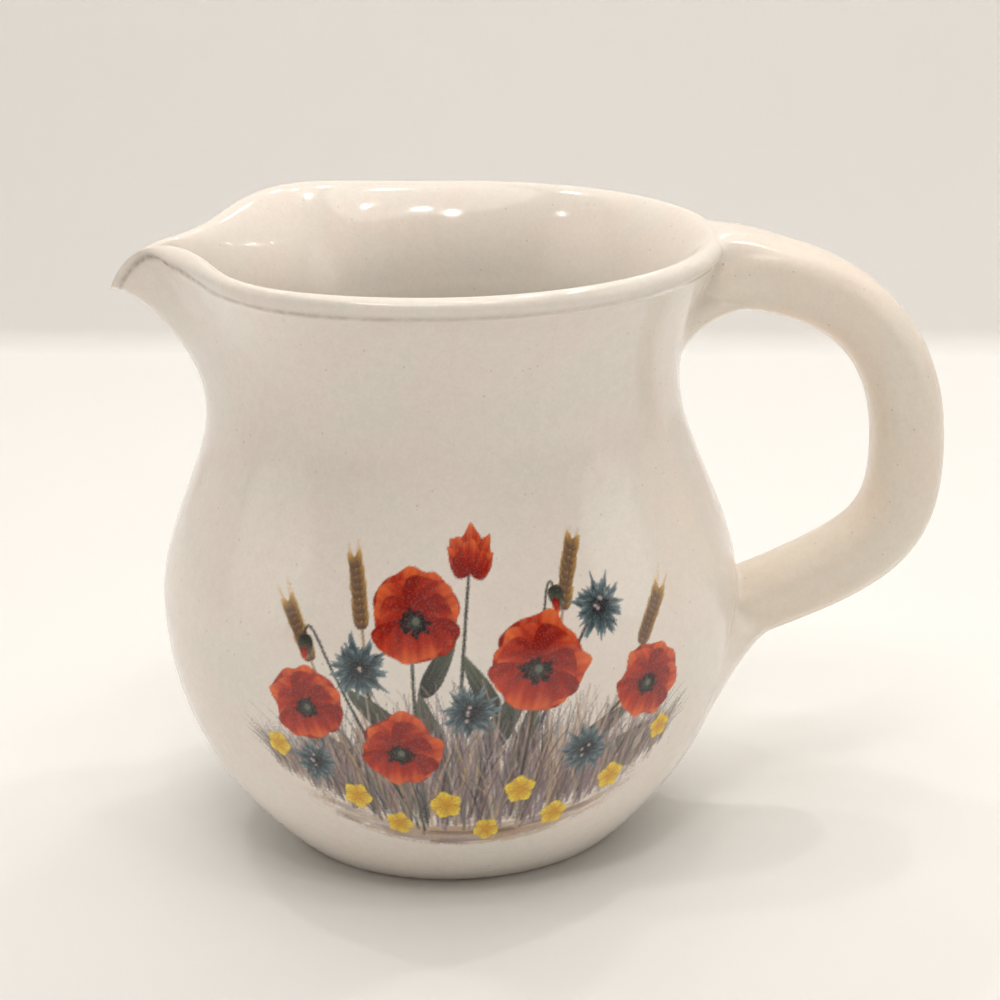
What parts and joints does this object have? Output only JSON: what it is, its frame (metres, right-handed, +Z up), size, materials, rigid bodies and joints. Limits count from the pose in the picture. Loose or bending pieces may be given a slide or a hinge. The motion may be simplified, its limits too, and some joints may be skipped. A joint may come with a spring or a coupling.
{
  "type": "cream jug",
  "caption": "Small round-bellied stoneware cream jug with a rolled lip, a pulled pouring spout, a loop handle and a picture on the front.",
  "frame": {"origin": "middle of the flat base, on the surface that the jug stands on", "axes": "+Z up along the turning axis, +X towards the handle, -X towards the spout, -Y towards the picture"},
  "size_m": [0.1281, 0.0906, 0.0963],
  "materials": {
    "glaze": "glossy warm cream glaze with fine specks",
    "slip_glaze": "the same glaze pooled over smoothed slip",
    "print": "fired-on printed film"
  },
  "bodies": {
    "root": {"body": "glaze", "handle": "glaze", "upper_slip_joint": "slip_glaze", "lower_slip_joint": "slip_glaze", "picture_transfer": "print"}
  },
  "joints": []
}
